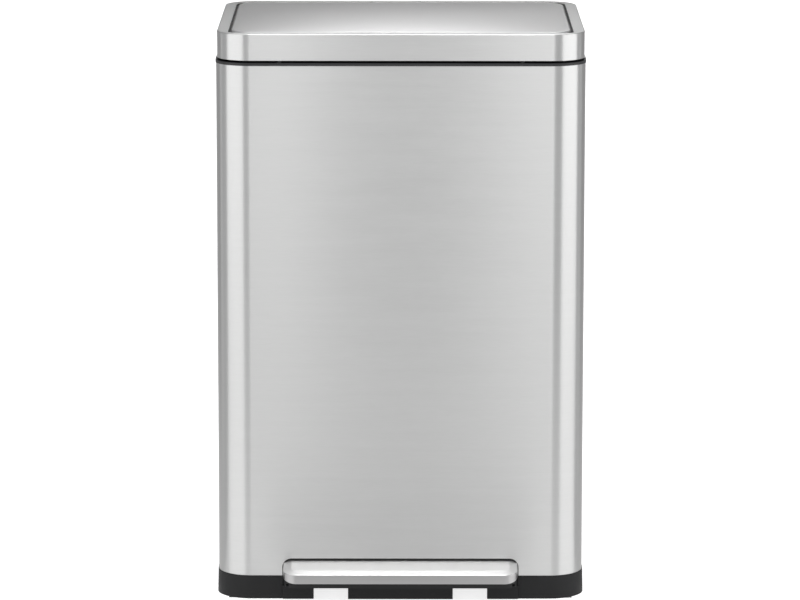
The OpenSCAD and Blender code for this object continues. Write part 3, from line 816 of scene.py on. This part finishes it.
def tread_drop(co):
    """How far the top has fallen at a point, past the rounded outline of its flat middle."""
    half = tread_hi.x - fall_run - flat_corner
    core = Vector((min(max(co.x, -half), half), max(co.y, tread_lo.y + fall_run + flat_corner)))
    out = co.xy - core
    if out.length < on_the_flat:
        return 0.0
    return edge_fall * past(out.length - flat_corner)


corner_point = Vector((tread_hi.x, tread_lo.y))
print("tread's corner falls", round(tread_drop(corner_point.to_3d()) / mm, 1), "mm")

# %% Pedal tread
tread_corner = 15 * mm
wall_height = 10 * mm
tread_edge = 0.8 * mm
cut_step = 0.8 * mm
cuts = 23
tread_up = 0.5

bm = rounded_box(
    Vector((tread_lo.x, tread_lo.y, -wall_height)),
    Vector((tread_hi.x, tread_hi.y + 2 * tread_corner, 0)), tread_corner, steps=16,
)
drop_faces(bm, flat_faces(bm, Z, -wall_height))
round_edges(bm, edges_of(flat_faces(bm, Z, 0)), tread_edge, steps=4)
bmesh.ops.bisect_plane(
    bm, geom=bm.verts[:] + bm.edges[:] + bm.faces[:], plane_co=(0, tread_hi.y, 0),
    plane_no=(0, 1, 0), clear_outer=True,
)
for i in range(1, cuts + 1):
    cut_across(bm, Y, tread_lo.y + i * cut_step)
    for side in (-1, 1):
        cut_across(bm, X, side * (tread_hi.x - i * cut_step))
for v in bm.verts:
    on_top = v.co.z > -2 * tread_edge
    past_front = edge_fall * past(tread_lo.y + fall_run - v.co.y)
    v.co.z -= tread_drop(v.co) if on_top else past_front
    v.co.z += tread_hi.z - tread_slope * (tread_hi.y - v.co.y)
thicken(bm, sheet)
# Faces that point up take the tread's lighter steel and the rest the wall's darker steel: painted
# light on the top, painted shade on the front wall.
for f in bm.faces:
    f.material_index = 0 if f.normal.z > tread_up else 1
finish_piece(
    bm, "pedal_cap", "pedal", tread_painted_light_steel, ["pedal_tread"],
    pedal_wall_painted_shade_steel,
)

# %% [markdown]
# ## Inner bucket
#
# The lift-out bucket is an injection moulding: a deep tapered tub with rounded bottom edges,
# a flat lip that hangs in the rim, and a hand grip in each side. The modelled skin is the tub's
# inside and the top of its lip. Its faces point inwards and up, so that the wall grows outwards
# and down from it.

# %% Bucket tub
lip = 7.4 * mm
tub_inset = 2.2 * mm
tub_wall = 2.0 * mm
taper = 8 * mm
tub_corner = 20 * mm - tub_inset
foot_radius = 7 * mm

inward = Vector((lip + tub_inset, lip + tub_inset, 0))
tub_lo = bucket_lo + inward + Vector((0, 0, tub_inset))
tub_hi = bucket_hi - inward
bm = rounded_box(tub_lo, tub_hi, tub_corner, steps=10)
drop_faces(bm, flat_faces(bm, Z, tub_hi.z))
swell(verts_at(bm, tub_lo.z), tub_lo, tub_hi, tub_corner, -taper)
round_edges(bm, edges_of(flat_faces(bm, Z, tub_lo.z)), foot_radius, steps=6)
face_outwards(bm)
print("tub", [round(v / mm, 1) for v in (tub_hi - tub_lo)], "mm inside")

# %% Grips and lip
grip_below = 14 * mm
grip_half = 45 * mm
grip_tall = 22 * mm
grip_corner = 9 * mm
facing_side = 0.99

grip_top = bucket_hi.z - grip_below
mid_grip = (tub_lo.y + tub_hi.y) / 2
grip = rounded_outline(
    mid_grip - grip_half, mid_grip + grip_half, grip_top - grip_tall, grip_top, grip_corner,
)
side_walls = [f for f in bm.faces if abs(f.normal.x) > facing_side]
for wall in sorted(side_walls, key=lambda f: f.calc_area(), reverse=True)[:2]:
    x = wall.calc_center_median().x
    drop_faces(bm, [punch(bm, wall, [Vector((x, u, v)) for u, v in grip])])
brim = [e for e in edges_at(bm, tub_hi.z) if e.is_boundary]
outer = bmesh.ops.extrude_edge_only(bm, edges=brim)["geom"]
swell(verts_in(outer), tub_lo, tub_hi, tub_corner, lip + tub_inset)
face_outwards(bm)
if widest(flat_faces(bm, Z, tub_lo.z)).normal.z < 0:
    bmesh.ops.reverse_faces(bm, faces=bm.faces[:])
bmesh.ops.solidify(bm, geom=bm.faces[:], thickness=tub_wall)
finish_piece(bm, "bucket_tub", "body", bucket_grey, ["inner_bucket"])

# %% [markdown]
# ## Studio
#
# The bin stands on a pale floor that curves up into a pale backdrop. Paper that is lit from all
# sides has no dark corners, so the floor also glows a little by itself.

# %% Floor and backdrop
floor_half = 8.0
floor_front = -12.0
floor_behind = 3.2
floor_bend = 0.6
paper_tone, paper_variation, paper_scale = 0.86, 0.02, 3
paper_glow = 0.75


def sweep_floor():
    """A floor that curves up behind the bin."""
    bm = bmesh.new()
    start = bm.verts.new((-floor_half, floor_front, 0))
    first = bm.verts.new((-floor_half, floor_behind - floor_bend, 0))
    bm.edges.new((start, first))
    bmesh.ops.spin(
        bm, geom=[first], cent=(0, floor_behind - floor_bend, floor_bend), axis=(1, 0, 0),
        dvec=(0, 0, 0), angle=math.radians(90), steps=24, use_merge=False,
    )
    extruded = bmesh.ops.extrude_edge_only(bm, edges=bm.edges[:])["geom"]
    bmesh.ops.translate(bm, verts=verts_in(extruded), vec=(2 * floor_half, 0, 0))
    mesh = as_mesh(bm, "studio_floor")
    mesh.shade_smooth()
    return add_object("studio_floor", mesh)


floor = sweep_floor()
paper, nodes, links, shader = new_material("studio_paper")
grain = stretched_noise(nodes, links, (paper_scale,) * 3, detail=4.0)
tone = spread(nodes, links, grain, paper_tone, paper_variation)
links.new(tone, shader.inputs["Base Color"])
shader.inputs["Roughness"].default_value = 0.9
shader.inputs["Emission Color"].default_value = (1, 1, 1, 1)
shader.inputs["Emission Strength"].default_value = paper_glow
floor.data.materials.append(paper)
print("floor", len(floor.data.polygons), "faces")

# %% [markdown]
# Steel shows what surrounds it, so the lights are large soft boxes. A wide one on each side
# lights the rounded corners. Two narrow upright strips in front of the bin draw the soft bright
# bands down its face. One hangs overhead and one high in front. A small bright one is aimed at the
# pedal, a long one picks out the lid's rear edge, and one stands high behind, where it brightens
# the lid's flat top.
#
# Each row of the table says where a box stands: its angle from straight ahead in degrees, its
# distance from the bin and its height. Then come its width, how tall it is, the brightness of its
# face and the height it points at. An area light's power is the brightness of its face times its
# area and pi.


# %% Lights
def softbox(name, azimuth, distance, height, width, tall, glow, aim):
    """Hangs a soft box that faces the bin."""
    light = bpy.data.lights.new(name, "AREA")
    light.shape = "RECTANGLE"
    light.size = width
    light.size_y = tall
    light.energy = glow * math.pi * width * tall
    lamp = add_object(name, light)
    a = math.radians(azimuth)
    lamp.location = (distance * math.sin(a), mid_y - distance * math.cos(a), height)
    toward = Vector((0, mid_y, aim)) - lamp.location
    lamp.rotation_euler = toward.to_track_quat("-Z", "Y").to_euler()
    lamp.visible_camera = False


softboxes = [
    # name, azimuth, distance, height, width, tall, glow, aim
    ("side_left", -55.0, 2.4, 0.85, 2.6, 1.7, 1.30, 0.85),
    ("side_right", 66.0, 2.4, 0.85, 2.5, 1.7, 1.50, 0.85),
    ("strip_left", -7.8, 1.35, 0.9, 0.09, 1.8, 1.3, 0.9),
    ("strip_right", 11.0, 1.35, 0.9, 0.26, 1.8, 0.78, 0.9),
    ("overhead", 0, 0.9, 2.8, 2.6, 3.0, 0.56, 0.0),
    ("front_high", 0, 3.2, 2.6, 1.6, 0.9, 1.2, 0.2),
    ("pedal_light", 0, 0.48, 1.5, 0.45, 0.30, 9.5, 0.03),
    ("edge_strip", 180, 0.3, 2.0, 1.6, 0.35, 2.6, 0.0),
    ("rear_high", 176, 2.6, 2.35, 1.2, 1.2, 3.7, 0.6),
]
for row in softboxes:
    softbox(*row)
print("lights", [row[0] for row in softboxes])

# %% [markdown]
# Brushed steel looks best with something dark to reflect beside something bright. Grey cards
# stand where only reflections can show them. One covers the floor, a lighter one lies in front of
# the bin, and a dark strip lies before the pedal. A dark card behind the bin is mirrored in the
# lid's flat top, and one on each side draws the darker edges of the corners.
#
# The glowing floor would also light the bin from below. Dark cards on the floor under the bin are
# painted shadow, which the camera sees, and they keep the gaps round the pedal black.
#
# The surroundings light the bin dimly, but the camera sees them as white paper.

# %% Grey cards
card_low, card_top = 0.0005, 0.001
painted_shade_tone, side_tone = 0.01, 0.36
side_near, side_far = 0.95, 0.97
shade_start, shade_front, shade_half = 48 * mm, 3 * mm, 190 * mm
shade_rear = rear_y - 20 * mm
notch_in, notch_out = 57 * mm, slot_half + 1 * mm


def grey_card(name, across, back, up, tone):
    """A card of an even tone that shows in reflections only, given its reach on each axis."""
    material, _, _, shader = new_material(name)
    shader.inputs["Base Color"].default_value = (0, 0, 0, 1)
    shader.inputs["Emission Color"].default_value = (1, 1, 1, 1)
    shader.inputs["Emission Strength"].default_value = tone
    lo, hi = (Vector(corner) for corner in zip(across, back, up))
    card = add_object(name, as_mesh(block(lo, hi), name))
    card.data.materials.append(material)
    card.visible_camera = False
    card.visible_diffuse = False
    card.visible_shadow = False
    return card


cards = [
    # name, reach across, reach to the back, reach upwards, tone
    ("floor_card", (-8.0, 8.0), (-12.0, 2.2), (card_low, card_top), 0.58),
    ("near_card", (-0.9, 0.9), (front_y - 0.65, front_y + 0.05), (0.001, 0.0015), 0.90),
    ("pedal_card", (-0.15, 0.15), (front_y - 0.22, front_y - 0.14), (0.002, 0.004), 0.05),
    ("rear_card", (-1.2, 1.2), (1.00, 1.02), (0.50, 1.04), 0.06),
]
for row in cards:
    grey_card(*row)
shades = [
    # left, right, start behind the front
    (-shade_half, shade_half, shade_start), (-shade_half, -notch_out, shade_front),
    (-notch_in, notch_in, shade_front), (notch_out, shade_half, shade_front),
]
for i, (left, right, start) in enumerate(shades):
    shade = grey_card(
        f"painted_shade_card_{i}", (left, right), (front_y + start, shade_rear), (card_low, card_top),
        painted_shade_tone,
    )
    # The camera sees these dark cards as painted shadow under the bin.
    shade.visible_camera = True
for side in (-1, 1):
    reach = sorted((side * side_near, side * side_far))
    grey_card(f"side_card_{side}", reach, (0.35, 2.2), (0.001, 1.7), side_tone)
print("cards", len(cards) + len(shades) + 2)

# %% Surroundings
ambient_glow = 0.40

world = bpy.data.worlds.new("studio_world")
world.use_nodes = True
nodes, links = world.node_tree.nodes, world.node_tree.links
ambient = nodes["Background"]
ambient.inputs["Color"].default_value = (0.96, 0.98, 1.0, 1)
ambient.inputs["Strength"].default_value = ambient_glow
paper_white = nodes.new("ShaderNodeBackground")
paper_white.inputs["Color"].default_value = (1, 1, 1, 1)
seen = nodes.new("ShaderNodeLightPath")
either = nodes.new("ShaderNodeMixShader")
links.new(seen.outputs["Is Camera Ray"], either.inputs["Fac"])
links.new(ambient.outputs[0], either.inputs[1])
links.new(paper_white.outputs[0], either.inputs[2])
links.new(either.outputs[0], nodes["World Output"].inputs["Surface"])
bpy.context.scene.world = world
bpy.context.scene.view_settings.view_transform = "Standard"
print("world", world.name)

# %% [markdown]
# ## Camera
#
# The view is from the front and a little above, from far away with a long lens, as in a shop
# catalogue: that keeps the upright edges nearly parallel.

# %% Camera
view_distance = 4.678
view_height = 1.208
view_down = math.radians(10.55)
view_roll = math.radians(-0.05)
view_aside = math.radians(0.018)
long_lens = 195.7
sensor_width = 36.0
farthest = 100.0

camera_data = bpy.data.cameras.new("catalogue_camera")
camera_data.sensor_width = sensor_width
camera_data.lens = long_lens
camera_data.clip_end = farthest
camera = add_object("catalogue_camera", camera_data)
camera.location = (0.0, front_y - view_distance, view_height)
camera.rotation_euler = (math.pi / 2 - view_down, view_roll, view_aside)
bpy.context.scene.camera = camera
print("camera", tuple(round(v, 3) for v in camera.location), "lens", long_lens)
